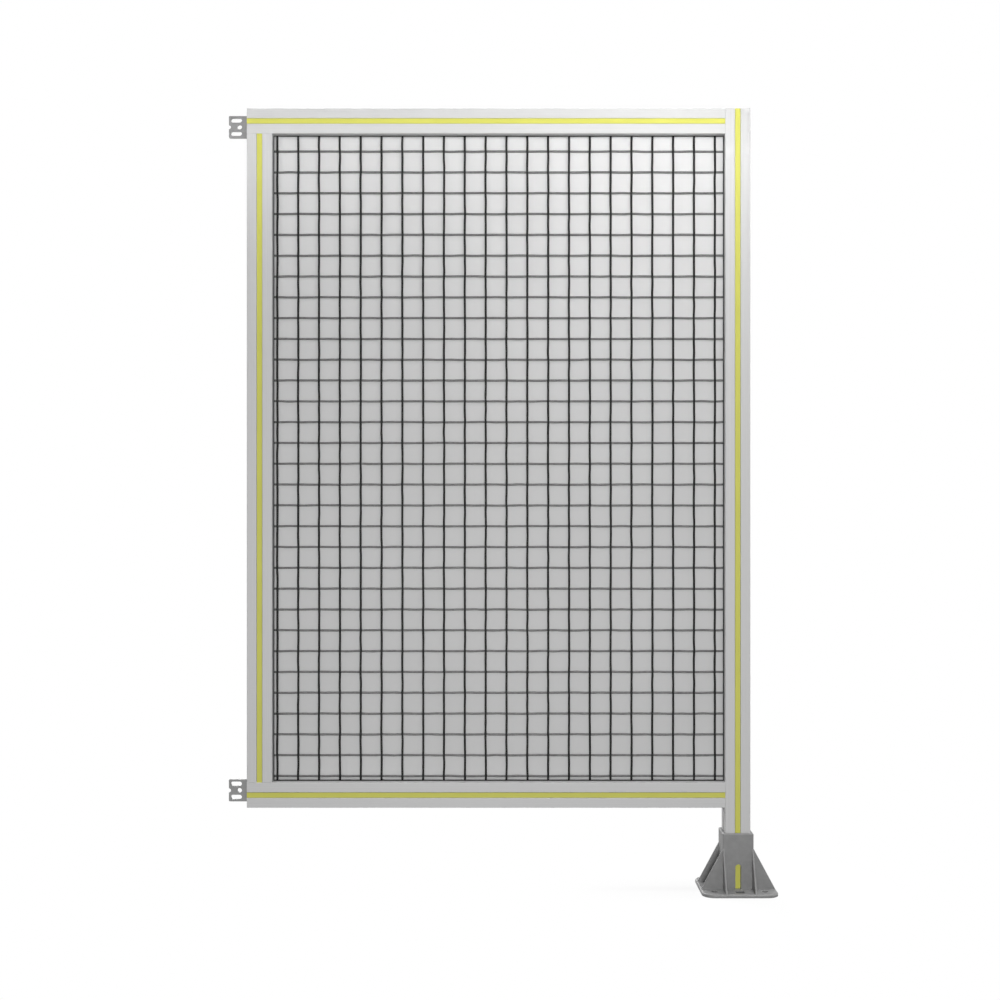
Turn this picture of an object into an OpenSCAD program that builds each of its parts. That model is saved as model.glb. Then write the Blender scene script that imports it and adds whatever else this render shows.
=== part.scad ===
// Machine guard fence panel, made of T-slot profile and welded wire mesh, on a cast foot.
// Origin: middle of the foot's underside, on the post's axis. The panel runs towards -X,
// its front with the cover strips looks along -Y, and +Z is up.

/* [Panel] */
// Width from the left end of the rails to the right face of the post
panel_w = 900; // [400:10:1600]
// Height of the post's top above the floor
panel_h = 1400; // [900:10:2200]
// Clear height between the floor and the bottom rail
floor_gap = 150; // [130:5:300]

/* [Profile] */
// Outer size of the square profile
profile = 45; // [44:0.5:50]
// Radius of the profile's outer corners
profile_r = 1; // [0.5:0.25:2.5]
// Opening of the T-slots
slot_w = 10; // [9:0.5:11]
// Thickness of the lips beside a slot
slot_lip = 4.5; // [3.5:0.25:5]
// Depth of the slots, from the face to the floor
slot_depth = 14.5; // [14:0.25:15]
// Width of the slots behind the lips
slot_cavity_w = 20; // [18:0.5:21]
// Height of the straight side walls behind the lips
slot_side = 5; // [4:0.25:5.5]
// Width of the 45 degree edge break at the slot's mouth
slot_break = 0.5; // [0.2:0.1:0.8]
// Bore through the middle of the profile
core_bore = 8.5; // [7:0.5:10]
// Width of the square chambers in the profile's corners
chamber_w = 7; // [5:0.5:7.5]
// Wall between a corner chamber and the outer faces
chamber_wall = 2.5; // [2:0.25:3]

/* [Cover strips] */
// Width of the strips that close the slots
strip_w = 9.1; // [8.5:0.1:9.8]
// Thickness of a strip's face
strip_t = 1.4; // [1:0.1:2]
// How far the strips lie below the profile's face
strip_recess = 0.5; // [0:0.1:0.8]
// Thickness of the two legs that snap in behind the lips
strip_leg = 1.2; // [0.8:0.1:1.6]
// How far a leg's hook reaches behind the lip
strip_hook = 0.8; // [0.5:0.1:1.2]
// Height of a leg's hook
strip_hook_h = 1.8; // [1.2:0.1:3]

/* [Wire mesh] */
// Distance from wire to wire
mesh_pitch = 37.5; // [30:0.5:60]
// Distance from the mesh's left end to its first upright wire
mesh_start_x = 18.75; // [15:0.25:30]
// Distance from the mesh's lower end to its first cross wire
mesh_start_z = 19.75; // [15:0.25:30]
// Diameter of the wires
wire_d = 4; // [3:0.25:4.5]
// Depth from the middle of the front wires to the middle of the back wires
wire_step = 2; // [1.5:0.25:2.5]
// How far the mesh and the infill sheet reach into the slots
infill_grip = 12; // [9:0.25:12.5]

/* [Infill sheet] */
// Thickness of the sheet behind the mesh
sheet_t = 2; // [1.5:0.25:3]

/* [Edging] */
// How far the rubber edging stands out of the slots
edging_rise = 1.5; // [1:0.25:4]
// Thickness of the edging under the edge of the mesh
edging_floor = 1.6; // [1:0.1:1.9]

/* [Foot] */
// Width of the square base plate
base_w = 135; // [130:1:180]
// Thickness of the base plate
base_t = 6; // [6:0.5:12]
// Radius of the rounding along the base plate's upper edge
base_edge = 3; // [1:0.25:4]
// Height of the socket's rim above the floor
socket_h = 105; // [85:1:120]
// Wall of the socket
socket_wall = 5; // [4:0.5:6]
// Radius of the socket's upright outer corners
socket_r = 1.5; // [0.5:0.25:3]
// Width of the slope round the outer edge of the rim
rim_edge = 1.5; // [0.5:0.25:2.5]
// Thickness of the eight ribs
rib_t = 3; // [2:0.25:4]
// Height at which the ribs meet the socket's corners
rib_h = 77.5; // [60:0.5:80]
// Distance from the ribs' toes to the edge of the base plate
rib_inset = 1.5; // [1.5:0.5:8]
// Width of the windows in the socket's walls
window_w = 10.5; // [8:0.5:14]
// Height of the windows' round tops above the floor
window_h = 50; // [30:1:56]
// Spacing of the anchor holes, whose middles are those of the base plate's round corners
anchor_spacing = 90; // [84:1:104]
// Diameter of the anchor holes
anchor_d = 11; // [9:0.5:13]
// Width of the openings in the base plate, in front of each window
opening_w = 15; // [10:0.5:18]
// Length of these openings
opening_l = 20; // [10:0.5:22]
// Distance from the socket's wall to these openings
opening_gap = 9.5; // [4:0.5:10]
// Radius of their corners
opening_r = 2.5; // [1:0.25:4]

/* [Foot screw] */
// Diameter of the countersunk head
foot_screw_head_d = 20; // [16:0.5:22]
// Height of the countersunk head
foot_screw_head_h = 5; // [4:0.25:5.5]
// Length of the thread inside the post
foot_screw_l = 24; // [15:1:40]

/* [Connecting plates] */
// Length of a plate beyond the left end of the frame
plate_reach = 40; // [35:1:55]
// Height of the plates
plate_h = 40; // [36:1:45]
// Thickness of the plates
plate_t = 6; // [4:0.5:8]
// Radius of the plates' corners
plate_r = 2; // [1:0.5:4]
// Distance of the screw holes from the left end of the frame
plate_hole_x = 20.5; // [18:0.5:24]
// Diameter of the screw holes
plate_hole_d = 8.5; // [8:0.25:9]
// Length of the long windows
plate_window_l = 20; // [14:0.5:22]
// Height of the long windows
plate_window_h = 8; // [6:0.5:8]
// Height of the windows' middle lines above and below the screw hole
plate_window_z = 12; // [10.5:0.25:12.5]
// Distance from a window's far end to the end of the plate
plate_window_end = 3.6; // [3:0.1:6]
// Radius of the half-round notch in each end
plate_notch_r = 3.8; // [2:0.1:5]
// Gap between a plate and the cover strip beside it
plate_gap = 1.5; // [0.5:0.5:5]

/* [Plate screws] */
// Diameter of the button heads
screw_head_d = 14; // [12:0.5:16]
// Height of the button heads
screw_head_h = 4.4; // [3:0.1:5]
// Width of the hexagon sockets
screw_hex = 5; // [4:0.5:6]
// Diameter of the threads
screw_d = 8; // [6:0.5:8]
// Width of the slot nuts behind the lips
nut_w = 18; // [15:0.5:18]
// Length of the slot nuts
nut_l = 22; // [14:1:30]
// Height of the slot nuts' bodies
nut_h = 5; // [3:0.5:5]

/* [Hidden] */
$fn = 48;
eps = 0.01;
half = profile / 2;
flat_sides = 8;
// Ends and heights of the frame
left_x = half - panel_w;
rail_end_x = -half;
bottom_z = floor_gap + half;
top_z = panel_h - half;
stile_x = left_x + half;
stile_z0 = floor_gap + profile;
stile_z1 = panel_h - profile;
// The field between the inner faces, and the infill that stands in the slots
field_x0 = left_x + profile;
field_x1 = rail_end_x;
infill_x0 = field_x0 - infill_grip;
infill_x1 = field_x1 + infill_grip;
infill_z0 = stile_z0 - infill_grip;
infill_z1 = stile_z1 + infill_grip;
// The mesh and the sheet fill the slot's opening together with the edging's walls
mesh_t = wire_d + wire_step;
pack_t = mesh_t + sheet_t;
edging_wall = (slot_w - pack_t) / 2;
mesh_y0 = edging_wall - slot_w / 2;
upright_y = mesh_y0 + wire_d / 2;
cross_y = upright_y + wire_step;
sheet_y = mesh_y0 + mesh_t;
edging_back = infill_grip + edging_floor;
// Wires as far as the mesh has room for them, and the seam between its two halves
wire_x0 = infill_x0 + mesh_start_x;
wire_z0 = infill_z0 + mesh_start_z;
wire_cols = floor((infill_x1 - wire_x0 - wire_d / 2) / mesh_pitch) + 1;
wire_rows = floor((infill_z1 - wire_z0 - wire_d / 2) / mesh_pitch) + 1;
lower_rows = ceil(wire_rows / 2);
seam_z = wire_z0 + (lower_rows - 0.5) * mesh_pitch;
// Foot
base_r = (base_w - anchor_spacing) / 2;
socket_half = half + socket_wall;
rib_reach = base_w / 2 - rib_inset;
// Connecting plates, which lie on the back of the frame
plate_window_x = plate_reach - plate_window_end - plate_window_l / 2;

aluminium = [0.84, 0.84, 0.85];
yellow = [0.94, 0.94, 0.48];
wire_grey = [0.28, 0.29, 0.30];
sheet_grey = [0.82, 0.82, 0.83];
rubber_black = [0.06, 0.06, 0.06];
cast_grey = [0.50, 0.50, 0.51];
plate_grey = [0.60, 0.60, 0.61];
zinc = [0.70, 0.71, 0.73];

// ---- Shapes that repeat ----

module rounded_square(w, h, r) {
    square([w - 2 * r, h], center = true);
    square([w, h - 2 * r], center = true);
    for (sx = [-1, 1], sy = [-1, 1])
        translate([sx * (w / 2 - r), sy * (h / 2 - r)]) circle(r = r);
}

module stadium(l, h) {
    square([l - h, h], center = true);
    for (s = [-1, 1])
        translate([s * (l - h) / 2, 0]) circle(d = h);
}

// One T-slot that opens towards +Y
module slot_section() {
    mouth = slot_w / 2;
    cavity = slot_cavity_w / 2;
    under_lip = half - slot_lip;
    side_end = under_lip - slot_side;
    bottom = half - slot_depth;
    toe = cavity - (side_end - bottom);
    polygon([
        [mouth + slot_break + eps, half + eps], [mouth, half - slot_break], [mouth, under_lip],
        [cavity, under_lip], [cavity, side_end], [toe, bottom],
        [-toe, bottom], [-cavity, side_end], [-cavity, under_lip],
        [-mouth, under_lip], [-mouth, half - slot_break], [-mouth - slot_break - eps, half + eps]
    ]);
}

module profile_section() {
    chamber = half - chamber_wall - chamber_w / 2;
    difference() {
        rounded_square(profile, profile, profile_r);
        circle(d = core_bore);
        for (a = [0:90:270])
            rotate(a) {
                slot_section();
                translate([chamber, chamber]) rounded_square(chamber_w, chamber_w, 1);
            }
    }
}

// A strip that closes a slot opening towards +Y
module strip_section() {
    face = half - strip_recess;
    under_lip = half - slot_lip;
    outer = strip_w / 2;
    inner = outer - strip_leg;
    hook = slot_w / 2 + strip_hook;
    tip = under_lip - strip_hook_h;
    polygon([
        [outer, face], [outer, under_lip], [hook, under_lip], [inner + strip_leg / 2, tip],
        [inner, tip], [inner, face - strip_t],
        [-inner, face - strip_t], [-inner, tip],
        [-inner - strip_leg / 2, tip], [-hook, under_lip], [-outer, under_lip], [-outer, face]
    ]);
}

// Runs a section, drawn about the profile's axis, upwards from z0 to z1
module upright(x, z0, z1) {
    translate([x, 0, z0]) linear_extrude(z1 - z0) children();
}

// Runs a section from x0 to x1, with the section's +Y still towards +Y
module crosswise(z, x0, x1) {
    translate([x0, 0, z]) rotate([90, 0, 90]) linear_extrude(x1 - x0)
        rotate(-90) children();
}

// ---- Frame ----

module post() {
    color(aluminium) upright(0, base_t, panel_h) profile_section();
}

module rail(z) {
    color(aluminium) crosswise(z, left_x, rail_end_x) profile_section();
}

module left_stile() {
    color(aluminium) upright(stile_x, stile_z0, stile_z1) profile_section();
}

// ---- Cover strips ----

// side is -1 on the front and 1 on the back
module turned_strip(side) {
    rotate(side > 0 ? 0 : 180) strip_section();
}

module upright_cover(x, z0, z1, side) {
    color(yellow) upright(x, z0, z1) turned_strip(side);
}

module rail_cover(z, x0, side) {
    color(yellow) crosswise(z, x0, rail_end_x) turned_strip(side);
}

// ---- Infill ----

module wire(l) {
    rotate(180 / flat_sides)
        cylinder(h = l, d = wire_d / cos(180 / flat_sides), $fn = flat_sides);
}

// Mesh between the heights z0 and z1, with the cross wires from row first to row last
module wire_mesh(z0, z1, first, last) {
    color(wire_grey) union() {
        for (i = [0:wire_cols - 1])
            translate([wire_x0 + i * mesh_pitch, upright_y, z0]) wire(z1 - z0);
        for (j = [first:last])
            translate([infill_x0, cross_y, wire_z0 + j * mesh_pitch])
                rotate([0, 90, 0]) wire(infill_x1 - infill_x0);
    }
}

module infill_sheet() {
    color(sheet_grey) translate([infill_x0, sheet_y, infill_z0])
        cube([infill_x1 - infill_x0, sheet_t, infill_z1 - infill_z0]);
}

// Rubber channel along +X whose mouth opens towards +Z at the slot's face, z = 0
module edging_channel(l) {
    color(rubber_black) difference() {
        translate([0, -slot_w / 2, -edging_back])
            cube([l, slot_w, edging_back + edging_rise]);
        translate([-1, -pack_t / 2, -infill_grip])
            cube([l + 2, pack_t, infill_grip + edging_rise + 1]);
    }
}

// Along the bottom rail, and turned over along the top rail
module bottom_edging() {
    translate([infill_x0 - edging_floor, 0, stile_z0])
        edging_channel(infill_x1 - infill_x0 + 2 * edging_floor);
}

module top_edging() {
    translate([infill_x1 + edging_floor, 0, stile_z1]) rotate([0, 180, 0])
        edging_channel(infill_x1 - infill_x0 + 2 * edging_floor);
}

// Upright channels stand between the other two
module left_edging() {
    translate([field_x0, 0, stile_z1 - edging_rise]) rotate([0, 90, 0])
        edging_channel(stile_z1 - stile_z0 - 2 * edging_rise);
}

module right_edging() {
    translate([field_x1, 0, stile_z0 + edging_rise]) rotate([0, -90, 0])
        edging_channel(stile_z1 - stile_z0 - 2 * edging_rise);
}

// ---- Foot ----

// Height over width of the base plate from its middle to a distance r, with a round upper edge
module base_edge_section(r) {
    square([r - base_edge, base_t]);
    square([r, base_t - base_edge]);
    translate([r - base_edge, base_t - base_edge]) circle(r = base_edge);
}

module base_plate() {
    for (a = [0:90:270])
        rotate(a) {
            translate([base_w / 2 - base_r, base_w / 2 - base_r]) rotate_extrude()
                base_edge_section(base_r);
            translate([0, base_w / 2 - base_r, 0]) rotate([90, 0, 0])
                linear_extrude(base_w - 2 * base_r) base_edge_section(base_w / 2);
        }
}

// One of the two ribs in the plane of the wall at +Y, which reaches out along +X. Its toe
// dips under the round edge of the base plate.
module rib() {
    dip = base_edge / 3;
    run = (rib_reach - socket_half) / (rib_h - base_t);
    translate([0, socket_half, 0]) rotate([90, 0, 0]) linear_extrude(rib_t)
        polygon([
            [half, base_t - dip], [rib_reach + run * dip, base_t - dip],
            [socket_half, rib_h], [half, rib_h]
        ]);
}

// The socket's four walls, with a sloped edge round the outside of the rim
module socket() {
    lip = half + socket_wall - rim_edge;
    difference() {
        intersection() {
            translate([0, 0, base_t - eps]) linear_extrude(socket_h - base_t + eps)
                rounded_square(2 * socket_half, 2 * socket_half, socket_r);
            for_both_ways(socket_half) rim_profile(lip);
        }
        translate([0, 0, base_t]) linear_extrude(socket_h) square(profile, center = true);
        for (a = [0, 90]) rotate(a) window();
    }
}

// What a section across the foot keeps, run along X and then along Y
module for_both_ways(reach) {
    intersection() {
        rotate([90, 0, 0]) translate([0, 0, -reach]) linear_extrude(2 * reach) children();
        rotate([90, 0, 90]) translate([0, 0, -reach]) linear_extrude(2 * reach) children();
    }
}

module rim_profile(lip) {
    polygon([
        [-socket_half, 0], [socket_half, 0], [socket_half, socket_h - rim_edge],
        [lip, socket_h], [-lip, socket_h], [-socket_half, socket_h - rim_edge]
    ]);
}

// The windows in two walls that face each other, with their round tops
module window() {
    rotate([90, 0, 0]) translate([0, 0, -socket_half - 1]) linear_extrude(2 * socket_half + 2) {
        translate([0, window_h - window_w / 2]) circle(d = window_w);
        translate([-window_w / 2, base_t]) square([window_w, window_h - window_w / 2 - base_t]);
    }
}

module foot() {
    color(cast_grey) difference() {
        union() {
            base_plate();
            socket();
            for (a = [0:90:270])
                rotate(a) {
                    rib();
                    mirror([1, 0, 0]) rib();
                }
        }
        for (sx = [-1, 1], sy = [-1, 1])
            translate([sx, sy, 0] * anchor_spacing / 2) translate([0, 0, -1])
                cylinder(h = base_t + 2, d = anchor_d);
        for (a = [0:90:270])
            rotate(a) translate([0, socket_half + opening_gap + opening_l / 2, -1])
                linear_extrude(base_t + 2) rounded_square(opening_w, opening_l, opening_r);
        foot_screw_body();
        translate([0, 0, -1]) cylinder(h = 1 + eps, d = foot_screw_head_d);
    }
}

// Countersunk head flush with the foot's underside, and the thread in the post's bore
module foot_screw_body() {
    cylinder(h = foot_screw_head_h, d1 = foot_screw_head_d, d2 = core_bore);
    cylinder(h = base_t + foot_screw_l, d = core_bore);
}

module foot_screw() {
    color(zinc) foot_screw_body();
}

// ---- Connecting plates ----

module plate_section() {
    difference() {
        rounded_square(2 * plate_reach, plate_h, plate_r);
        for (s = [-1, 1]) {
            translate([s * plate_hole_x, 0]) circle(d = plate_hole_d);
            translate([s * plate_reach, 0]) circle(r = plate_notch_r);
            for (t = [-1, 1])
                translate([s * plate_window_x, t * plate_window_z]) stadium(plate_window_l, plate_window_h);
        }
    }
}

module connecting_plate(z) {
    color(plate_grey) translate([left_x, half + plate_t, z]) rotate([90, 0, 0])
        linear_extrude(plate_t) plate_section();
}

// Button-head screw through the plate, into the slot nut
module plate_screw(z) {
    color(zinc) translate([left_x + plate_hole_x, half + plate_t, z]) rotate([-90, 0, 0])
        difference() {
            union() {
                cylinder(h = screw_head_h, d1 = screw_head_d, d2 = screw_head_d * 0.6);
                translate([0, 0, -plate_t - slot_lip - nut_h])
                    cylinder(h = plate_t + slot_lip + nut_h, d = screw_d);
            }
            translate([0, 0, screw_head_h * 0.4])
                cylinder(h = screw_head_h, d = screw_hex / cos(30), $fn = 6);
        }
}

// Nut behind the lips of the rail's back slot
module slot_nut(z) {
    color(zinc) translate([left_x + plate_hole_x, half - slot_lip, z]) rotate([90, 0, 0])
        linear_extrude(nut_h) difference() {
            square([nut_l, nut_w], center = true);
            circle(d = screw_d);
        }
}

post();
rail(top_z);  // top_rail
rail(bottom_z);  // bottom_rail
left_stile();
upright_cover(0, base_t, panel_h, -1);  // post_cover_front
rail_cover(top_z, left_x, -1);  // top_cover_front
rail_cover(bottom_z, left_x, -1);  // bottom_cover_front
upright_cover(stile_x, stile_z0, stile_z1, -1);  // stile_cover_front
upright_cover(0, base_t, panel_h, 1);  // post_cover_back
rail_cover(top_z, left_x + plate_reach + plate_gap, 1);  // top_cover_back
rail_cover(bottom_z, left_x + plate_reach + plate_gap, 1);  // bottom_cover_back
upright_cover(stile_x, stile_z0, stile_z1, 1);  // stile_cover_back
wire_mesh(infill_z0, seam_z, 0, lower_rows - 1);  // wire_mesh_lower
wire_mesh(seam_z, infill_z1, lower_rows, wire_rows - 1);  // wire_mesh_upper
infill_sheet();
top_edging();
bottom_edging();
left_edging();
right_edging();
foot();
foot_screw();
connecting_plate(top_z);  // top_plate
connecting_plate(bottom_z);  // bottom_plate
plate_screw(top_z);  // top_plate_screw
plate_screw(bottom_z);  // bottom_plate_screw
slot_nut(top_z);  // top_slot_nut
slot_nut(bottom_z);  // bottom_slot_nut
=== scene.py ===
"""Looks of the machine guard fence panel: materials, the welded mesh, light and camera.

The shapes are the CAD nodes of the frame, and only the mesh is made here. Everything is in
metres, with the foot's underside at z = 0, the panel running towards -X and its front
looking along -Y.
"""
import math
import random

import bpy
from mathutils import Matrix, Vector


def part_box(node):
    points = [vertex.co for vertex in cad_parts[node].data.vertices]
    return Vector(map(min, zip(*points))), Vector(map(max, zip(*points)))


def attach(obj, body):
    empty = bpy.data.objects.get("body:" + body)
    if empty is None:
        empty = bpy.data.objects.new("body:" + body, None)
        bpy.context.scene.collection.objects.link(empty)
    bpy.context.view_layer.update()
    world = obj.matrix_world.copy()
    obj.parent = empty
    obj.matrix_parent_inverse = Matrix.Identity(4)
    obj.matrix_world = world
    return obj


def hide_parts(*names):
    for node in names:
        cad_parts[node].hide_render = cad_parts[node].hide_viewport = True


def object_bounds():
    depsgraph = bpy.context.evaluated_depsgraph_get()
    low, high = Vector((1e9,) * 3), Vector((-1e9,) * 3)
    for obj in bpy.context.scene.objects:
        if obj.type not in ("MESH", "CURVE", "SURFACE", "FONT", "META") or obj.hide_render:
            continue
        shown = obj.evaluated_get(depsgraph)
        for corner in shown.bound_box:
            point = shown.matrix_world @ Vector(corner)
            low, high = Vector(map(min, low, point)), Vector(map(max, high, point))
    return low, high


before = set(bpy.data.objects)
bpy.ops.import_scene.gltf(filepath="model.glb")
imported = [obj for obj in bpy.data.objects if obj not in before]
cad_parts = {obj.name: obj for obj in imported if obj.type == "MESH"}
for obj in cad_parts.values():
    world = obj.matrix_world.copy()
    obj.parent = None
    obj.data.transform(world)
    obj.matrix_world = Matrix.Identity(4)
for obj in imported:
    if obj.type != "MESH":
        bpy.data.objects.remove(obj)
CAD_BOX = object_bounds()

MM = 0.001

# The welded mesh, at the places of the CAD bars that it stands for
MESH_NODES = ("wire_mesh_lower", "wire_mesh_upper")
MESH_PITCH = 37.5 * MM
MESH_START_X = 18.75 * MM  # from the mesh's left end to the first upright wire
MESH_START_Z = 19.75 * MM  # from its lower end to the first cross wire
WIRE_D = 4.0 * MM
WANDER = 0.4 * MM          # how far the wires stray sideways between crossings
BEND = MESH_PITCH * 0.55   # length of one stretch between two bends
RINGS_PER_CELL = 8
WIRE_SIDES = 8
ROUNDING = 1e-6            # lets the last wire in when it just fits

# The profiles' drawing lines: scale of their noise along the length, where it is 1 across
LINE_SQUEEZE = 0.004

# The camera looks square at the middle of the object, this far from the post's front face
CAMERA_DISTANCE = 2.72
CAMERA_LENS = 54.8         # mm
CAMERA_SENSOR = 36.0       # mm across

# The light that the world gives, where white is 1
WORLD_LIGHT = 0.115

# The floor: its paint, as light falls back from it and as it is seen
FLOOR_REACH = 30.0
FLOOR_BOUNCE = (0.2, 0.2, 0.2, 1)
FLOOR_SEEN = (0.9, 0.9, 0.9, 1)
# It is seen to glow white, a little less near the foot, so that the shadow shows there
GLOW_NEAR = 0.88
GLOW_FAR = 1.0
SHADOW_START = 0.08        # distance from the origin at which the glow begins to rise
SHADOW_END = 0.3           # and at which it is full


# ---------------------------------------------------------------- nodes

def shader_material(name, metallic=0.0, specular=0.5):
    """A node material with nothing but a Principled shader: the material, tree and shader."""
    material = bpy.data.materials.new(name)
    material.use_nodes = True
    tree = material.node_tree
    tree.nodes.clear()
    output = tree.nodes.new("ShaderNodeOutputMaterial")
    shader = tree.nodes.new("ShaderNodeBsdfPrincipled")
    shader.inputs["Metallic"].default_value = metallic
    shader.inputs["Specular IOR Level"].default_value = specular
    tree.links.new(shader.outputs["BSDF"], output.inputs["Surface"])
    return material, tree, shader


def linear(value):
    """One sRGB channel from 0 to 1 as the linear value that nodes take."""
    return value / 12.92 if value <= 0.04045 else ((value + 0.055) / 1.055) ** 2.4


def colour(red, green, blue):
    """An sRGB colour with channels from 0 to 1, as nodes take it."""
    return (linear(red), linear(green), linear(blue), 1.0)


def grey(value):
    """An sRGB grey from 0 to 1, as nodes take it."""
    return colour(value, value, value)


def object_space(tree, scale=(1.0, 1.0, 1.0)):
    """Coordinates in metres on the object, multiplied by scale."""
    place = tree.nodes.new("ShaderNodeTexCoord")
    stretch = tree.nodes.new("ShaderNodeMapping")
    stretch.inputs["Scale"].default_value = scale
    tree.links.new(place.outputs["Object"], stretch.inputs["Vector"])
    return stretch.outputs["Vector"]


def noise(tree, vector, size, detail=3.0, roughness=0.5):
    """Noise from 0 to 1 whose blots are about size metres across."""
    texture = tree.nodes.new("ShaderNodeTexNoise")
    texture.inputs["Scale"].default_value = 1.0 / size
    texture.inputs["Detail"].default_value = detail
    texture.inputs["Roughness"].default_value = roughness
    tree.links.new(vector, texture.inputs["Vector"])
    return texture.outputs["Fac"]


def spread(tree, value, low, high, start=0.3, end=0.7):
    """Maps value from the range start to end, where most noise lies, onto low to high."""
    mapped = tree.nodes.new("ShaderNodeMapRange")
    mapped.inputs["From Min"].default_value = start
    mapped.inputs["From Max"].default_value = end
    mapped.inputs["To Min"].default_value = low
    mapped.inputs["To Max"].default_value = high
    tree.links.new(value, mapped.inputs["Value"])
    return mapped.outputs["Result"]


def blend_colours(tree, factor, first, second):
    """The first colour where factor is 0 and the second where it is 1."""
    mixed = tree.nodes.new("ShaderNodeMix")
    mixed.data_type = "RGBA"
    mixed.inputs["A"].default_value = first
    mixed.inputs["B"].default_value = second
    tree.links.new(factor, mixed.inputs["Factor"])
    return mixed.outputs["Result"]


def paint(tree, shader, pattern, first, second):
    """Colours the surface between first and second by the pattern, a noise."""
    tone = blend_colours(tree, spread(tree, pattern, 0.0, 1.0), first, second)
    tree.links.new(tone, shader.inputs["Base Color"])


def gloss(tree, shader, pattern, low, high):
    """Varies the shader's roughness from low to high by the pattern, a noise."""
    tree.links.new(spread(tree, pattern, low, high), shader.inputs["Roughness"])


def bump(tree, shader, pattern, depth, strength):
    """Roughens the surface by the pattern, which is depth metres high at 1."""
    relief = tree.nodes.new("ShaderNodeBump")
    relief.inputs["Strength"].default_value = strength
    relief.inputs["Distance"].default_value = depth
    tree.links.new(pattern, relief.inputs["Height"])
    tree.links.new(relief.outputs["Normal"], shader.inputs["Normal"])


# ---------------------------------------------------------------- materials

def anodised_aluminium(name, along):
    """Extruded profile: drawing lines along its length under a satin anodised skin."""
    material, tree, shader = shader_material(name, metallic=0.12)
    squeezed = tuple(LINE_SQUEEZE if axis == along else 1.0 for axis in "XYZ")
    lines = noise(tree, object_space(tree, squeezed), 1.1 * MM, detail=4.0, roughness=0.65)
    paint(tree, shader, lines, grey(0.775), grey(0.815))
    gloss(tree, shader, lines, 0.46, 0.64)
    bump(tree, shader, lines, depth=0.04 * MM, strength=0.7)
    return material


def strip_plastic():
    """Extruded pale yellow plastic, a little uneven in its tone and gloss."""
    material, tree, shader = shader_material("cover_strip_plastic")
    clouds = noise(tree, object_space(tree), 60 * MM, detail=2.0)
    grain = noise(tree, object_space(tree), 0.5 * MM)
    paint(tree, shader, clouds, colour(0.835, 0.83, 0.355), colour(0.855, 0.85, 0.37))
    gloss(tree, shader, grain, 0.48, 0.58)
    bump(tree, shader, grain, depth=0.02 * MM, strength=0.4)
    return material


def drawn_wire(name, dark, light):
    """Drawn steel wire: a spangled tone and a fine grain."""
    material, tree, shader = shader_material(name, metallic=0.35, specular=0.3)
    spangle = noise(tree, object_space(tree), 3 * MM)
    fine = noise(tree, object_space(tree), 0.4 * MM, detail=2.0)
    paint(tree, shader, spangle, grey(dark), grey(light))
    gloss(tree, shader, fine, 0.38, 0.55)
    bump(tree, shader, fine, depth=0.03 * MM, strength=0.4)
    return material


def satin_sheet():
    """The light grey sheet behind the mesh: faint clouds and a fine grain."""
    material, tree, shader = shader_material("infill_sheet_satin")
    clouds = noise(tree, object_space(tree), 240 * MM, detail=2.0)
    grain = noise(tree, object_space(tree), 1.2 * MM)
    paint(tree, shader, clouds, grey(0.865), grey(0.88))
    gloss(tree, shader, grain, 0.50, 0.60)
    bump(tree, shader, grain, depth=0.015 * MM, strength=0.4)
    return material


def edging_rubber():
    """Dull black rubber with a fine grain."""
    material, tree, shader = shader_material("edging_rubber", specular=0.2)
    grain = noise(tree, object_space(tree), 0.8 * MM, detail=4.0)
    paint(tree, shader, grain, grey(0.03), grey(0.05))
    gloss(tree, shader, grain, 0.62, 0.75)
    bump(tree, shader, grain, depth=0.05 * MM, strength=0.5)
    return material


def cast_metal(name, dark, light, metallic, pebble):
    """Cast surface: a skin of pebbles of that size, slightly blotchy."""
    material, tree, shader = shader_material(name, metallic=metallic)
    skin = noise(tree, object_space(tree), pebble, detail=4.0, roughness=0.6)
    blots = noise(tree, object_space(tree), 14 * MM)
    paint(tree, shader, blots, grey(dark), grey(light))
    gloss(tree, shader, skin, 0.42, 0.6)
    bump(tree, shader, skin, depth=0.2 * MM, strength=0.8)
    return material


def zinc_plating():
    """Bright zinc on the screws and nuts, with a fine grain."""
    material, tree, shader = shader_material("zinc_plating", metallic=1.0)
    fine = noise(tree, object_space(tree), 0.6 * MM)
    paint(tree, shader, fine, grey(0.66), grey(0.74))
    gloss(tree, shader, fine, 0.24, 0.38)
    bump(tree, shader, fine, depth=0.02 * MM, strength=0.3)
    return material


def dress(material, *names):
    """Gives CAD nodes a material."""
    for name in names:
        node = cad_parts[name]
        node.data.materials.clear()
        node.data.materials.append(material)


def dress_cad_nodes():
    """Gives every CAD node that stays its material."""
    dress(anodised_aluminium("profile_upright", "Z"), "post", "left_stile")
    dress(anodised_aluminium("profile_crosswise", "X"), "top_rail", "bottom_rail")
    strips = [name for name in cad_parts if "_cover_" in name]
    dress(strip_plastic(), *strips)
    dress(satin_sheet(), "infill_sheet")
    dress(edging_rubber(), "top_edging", "bottom_edging", "left_edging", "right_edging")
    dress(cast_metal("foot_casting", dark=0.51, light=0.55, metallic=0.1, pebble=1.4 * MM),
          "foot")
    dress(cast_metal("plate_casting", dark=0.57, light=0.6, metallic=0.15, pebble=1.0 * MM),
          "top_plate", "bottom_plate")
    dress(zinc_plating(), "foot_screw", "top_plate_screw", "bottom_plate_screw",
          "top_slot_nut", "bottom_slot_nut")


# ---------------------------------------------------------------- welded mesh

def sideways(rng, length):
    """The small uneven bends of a wire, as a smooth function of the way along it."""
    bends = [rng.uniform(-WANDER, WANDER) for _ in range(int(length / BEND) + 2)]

    def offset(along):
        last = min(int(along / BEND), len(bends) - 2)
        ease = (1 - math.cos(math.pi * (along / BEND - last))) / 2
        return bends[last] + (bends[last + 1] - bends[last]) * ease
    return offset


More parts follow.
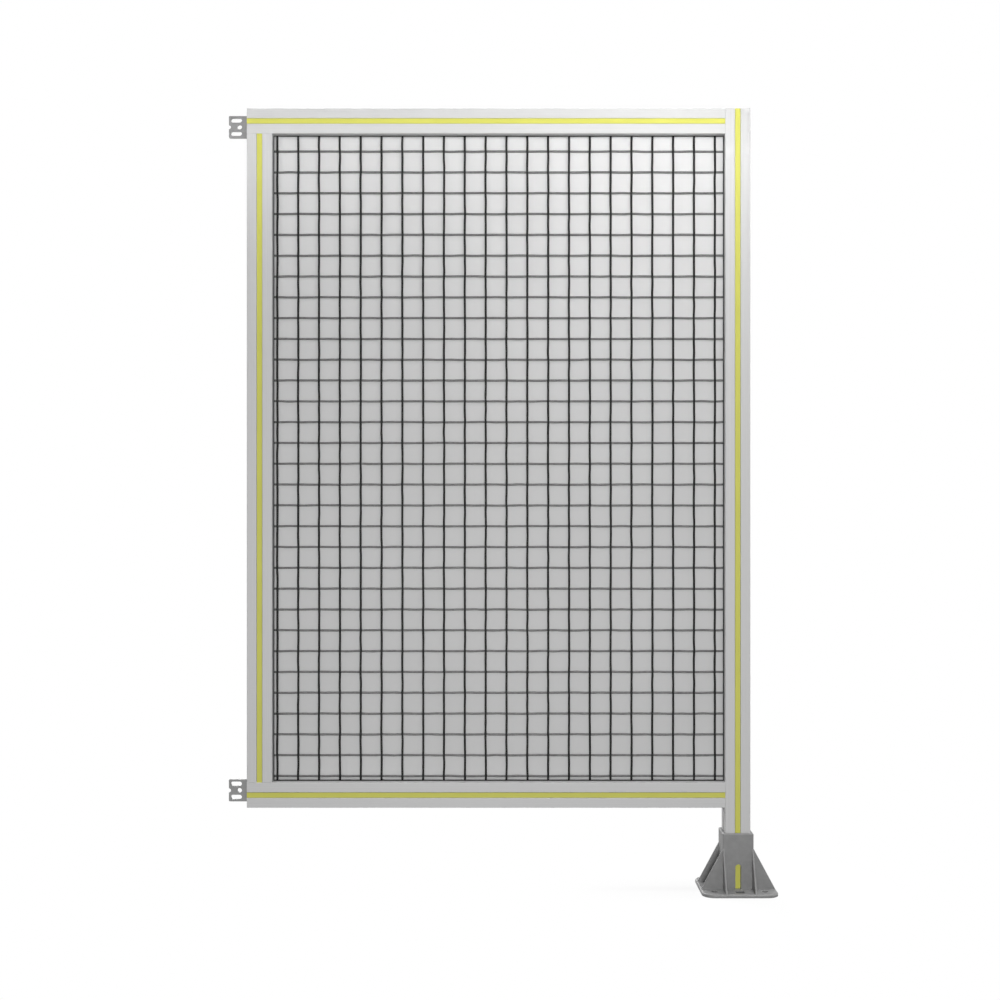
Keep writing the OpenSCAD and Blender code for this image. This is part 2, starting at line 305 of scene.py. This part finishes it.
def sweep(points, radius, verts, faces):
    """Adds a round tube along points, closed at both ends."""
    start = len(verts)
    for i, point in enumerate(points):
        before = points[max(i - 1, 0)]
        after = points[min(i + 1, len(points) - 1)]
        tangent = (after - before).normalized()
        out = Vector((0, 1, 0))
        across = tangent.cross(out).normalized()
        out = across.cross(tangent).normalized()
        for s in range(WIRE_SIDES):
            turn = math.tau * (s + 0.5) / WIRE_SIDES
            verts.append(point + radius * (math.cos(turn) * across + math.sin(turn) * out))
    for i in range(len(points) - 1):
        low = start + i * WIRE_SIDES
        for s in range(WIRE_SIDES):
            t = (s + 1) % WIRE_SIDES
            faces.append((low + s, low + t, low + WIRE_SIDES + t, low + WIRE_SIDES + s))
    last = start + (len(points) - 1) * WIRE_SIDES
    faces.append(tuple(start + s for s in reversed(range(WIRE_SIDES))))
    faces.append(tuple(last + s for s in range(WIRE_SIDES)))


def finish_piece(name, verts, faces, material):
    """Makes an object of a mesh, with its material and slot, that rides on the one body."""
    mesh = bpy.data.meshes.new(name)
    mesh.from_pydata(verts, [], faces)
    mesh.update()
    mesh.materials.append(material)
    mesh.shade_smooth()
    piece = bpy.data.objects.new(name, mesh)
    bpy.context.scene.collection.objects.link(piece)
    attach(piece, "root")
    return piece


def parallel_wires(name, first, last, along_low, along_high, place, material):
    """A layer of parallel wires from first to at most last, in the mesh nodes' place.

    first and last are measured across the wires, along_low and along_high along them, and
    place turns a pair of both into a point.
    """
    rng = random.Random(name)
    length = along_high - along_low
    count = int((last - WIRE_D / 2 - first) / MESH_PITCH + ROUNDING) + 1
    rings = int(round(length / MESH_PITCH * RINGS_PER_CELL))
    verts, faces = [], []
    for i in range(count):
        offset = sideways(rng, length)
        centre = first + i * MESH_PITCH
        points = []
        for r in range(rings + 1):
            way = length * r / rings
            points.append(place(centre + offset(way), along_low + way))
        sweep(points, WIRE_D / 2, verts, faces)
    piece = finish_piece(name, verts, faces, material)
    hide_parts(*MESH_NODES)


def welded_mesh():
    """Upright wires in front and cross wires behind, sunk into each other at the welds."""
    lower, upper = (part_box(name) for name in MESH_NODES)
    low = Vector(map(min, lower[0], upper[0]))
    high = Vector(map(max, lower[1], upper[1]))
    front = low.y + WIRE_D / 2
    behind = high.y - WIRE_D / 2
    parallel_wires("upright_wires", low.x + MESH_START_X, high.x, low.z, high.z,
                   lambda across, along: Vector((across, front, along)),
                   # Painted shade: the same drawn steel as the cross wires, given a much
                   # darker tone for the shade on the upright wires
                   drawn_wire("wire_upright_painted_shade", dark=0.045, light=0.085))
    parallel_wires("cross_wires", low.z + MESH_START_Z, high.z, low.x, high.x,
                   lambda across, along: Vector((along, behind, across)),
                   # Painted light: the same drawn steel, given a lighter tone for the light
                   # that falls on the tops of the cross wires
                   drawn_wire("wire_crosswise_painted_light", dark=0.37, light=0.46))


# ---------------------------------------------------------------- camera, light and stage

def aim(obj, target):
    """Turns a camera or lamp towards target."""
    obj.rotation_euler = (Vector(target) - obj.location).to_track_quat("-Z", "Y").to_euler()


def add_camera():
    """The camera, square in front of the middle of the whole object."""
    low, high = CAD_BOX
    camera = bpy.data.objects.new("camera", bpy.data.cameras.new("camera"))
    bpy.context.scene.collection.objects.link(camera)
    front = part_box("post")[0].y
    middle = (low + high) / 2
    camera.location = (middle.x, front - CAMERA_DISTANCE, middle.z)
    aim(camera, (middle.x, front, middle.z))
    camera.data.lens = CAMERA_LENS
    camera.data.sensor_width = CAMERA_SENSOR
    bpy.context.scene.camera = camera


def add_area_light(name, place, target, width, height, power):
    """A soft box that the camera doesn't see, with its power in watts."""
    light = bpy.data.lights.new(name, "AREA")
    light.shape = "RECTANGLE"
    light.size = width
    light.size_y = height
    light.energy = power
    lamp = bpy.data.objects.new(name, light)
    bpy.context.scene.collection.objects.link(lamp)
    lamp.location = place
    lamp.visible_camera = False
    aim(lamp, target)


def add_sun(name, strength, angle):
    """Even light straight from above, from a disc that many degrees across."""
    light = bpy.data.lights.new(name, "SUN")
    light.energy = strength
    light.angle = math.radians(angle)
    lamp = bpy.data.objects.new(name, light)
    bpy.context.scene.collection.objects.link(lamp)


def add_lights():
    """Brightest at the top right, falling off downwards and to the left."""
    # Close to the front, for the post's head, the top rail and the upper right part
    add_area_light("key", place=(-0.04, -0.3, 1.37), target=(-0.04, 0.0, 1.37),
                   width=0.1, height=0.06, power=0.26)
    add_area_light("upper_bar", place=(-0.55, -0.3, 1.385), target=(-0.55, 0.0, 1.385),
                   width=1.4, height=0.03, power=1.01)
    add_area_light("right", place=(-0.1, -0.7, 1.25), target=(-0.15, 0.0, 1.2),
                   width=0.4, height=0.4, power=1.1)
    # Far in front of the middle, so that few shadows of the wires show
    add_area_light("front", place=(-0.42, -3.4, 0.45), target=(-0.42, 0.0, 0.35),
                   width=0.6, height=0.5, power=44.5)
    # For the back, the right side and the top faces
    add_area_light("behind", place=(-1.2, 2.6, 1.8), target=(-0.4, 0.0, 0.7),
                   width=1.6, height=1.6, power=60)
    add_area_light("side", place=(3.0, 0.25, 1.1), target=(0.0, 0.05, 0.6),
                   width=1.0, height=1.0, power=30)
    add_sun("above", strength=2.5, angle=20)


def is_seen(tree):
    """1 on rays from the camera, and on those that metal and glass send out."""
    path = tree.nodes.new("ShaderNodeLightPath")
    total = path.outputs["Is Camera Ray"]
    for ray in ("Is Glossy Ray", "Is Transmission Ray"):
        add = tree.nodes.new("ShaderNodeMath")
        add.operation = "MAXIMUM"
        tree.links.new(total, add.inputs[0])
        tree.links.new(path.outputs[ray], add.inputs[1])
        total = add.outputs["Value"]
    return total


def mix_shaders(tree, output, factor, first, second):
    """Sends the first shader to output where factor is 0 and the second where it is 1."""
    mix = tree.nodes.new("ShaderNodeMixShader")
    tree.links.new(factor, mix.inputs["Fac"])
    tree.links.new(first, mix.inputs[1])
    tree.links.new(second, mix.inputs[2])
    tree.links.new(mix.outputs["Shader"], output.inputs["Surface"])


def add_world():
    """White where it is seen or mirrored, and softer as the light that it gives."""
    world = bpy.data.worlds.new("studio")
    bpy.context.scene.world = world
    world.use_nodes = True
    tree = world.node_tree
    tree.nodes.clear()
    output = tree.nodes.new("ShaderNodeOutputWorld")
    soft = tree.nodes.new("ShaderNodeBackground")
    white = tree.nodes.new("ShaderNodeBackground")
    for background in (soft, white):
        background.inputs["Color"].default_value = (1, 1, 1, 1)
    soft.inputs["Strength"].default_value = WORLD_LIGHT
    mix_shaders(tree, output, is_seen(tree),
                soft.outputs["Background"], white.outputs["Background"])


def floor_paint():
    """Dull paint that glows white where it is seen, apart from the soft shadow by the foot."""
    material = bpy.data.materials.new("floor_white")
    material.use_nodes = True
    tree = material.node_tree
    tree.nodes.clear()
    output = tree.nodes.new("ShaderNodeOutputMaterial")
    seen = is_seen(tree)
    dull = tree.nodes.new("ShaderNodeBsdfDiffuse")
    tree.links.new(blend_colours(tree, seen, FLOOR_BOUNCE, FLOOR_SEEN), dull.inputs["Color"])
    glow = tree.nodes.new("ShaderNodeEmission")
    away = tree.nodes.new("ShaderNodeVectorMath")
    away.operation = "LENGTH"
    tree.links.new(object_space(tree), away.inputs[0])
    rise = spread(tree, away.outputs["Value"], GLOW_NEAR, GLOW_FAR, SHADOW_START, SHADOW_END)
    share = tree.nodes.new("ShaderNodeMath")
    share.operation = "MULTIPLY"
    tree.links.new(seen, share.inputs[0])
    tree.links.new(rise, share.inputs[1])
    mix_shaders(tree, output, share.outputs["Value"],
                dull.outputs["BSDF"], glow.outputs["Emission"])
    return material


def add_floor():
    """The floor that the foot stands on."""
    corners = [(x * FLOOR_REACH, y * FLOOR_REACH, 0)
               for x, y in ((-1, -1), (1, -1), (1, 1), (-1, 1))]
    mesh = bpy.data.meshes.new("floor")
    mesh.from_pydata(corners, [], [(0, 1, 2, 3)])
    mesh.materials.append(floor_paint())
    floor = bpy.data.objects.new("floor", mesh)
    bpy.context.scene.collection.objects.link(floor)


dress_cad_nodes()
welded_mesh()
add_camera()
add_lights()
add_world()
add_floor()
bpy.context.scene.view_settings.view_transform = "Standard"
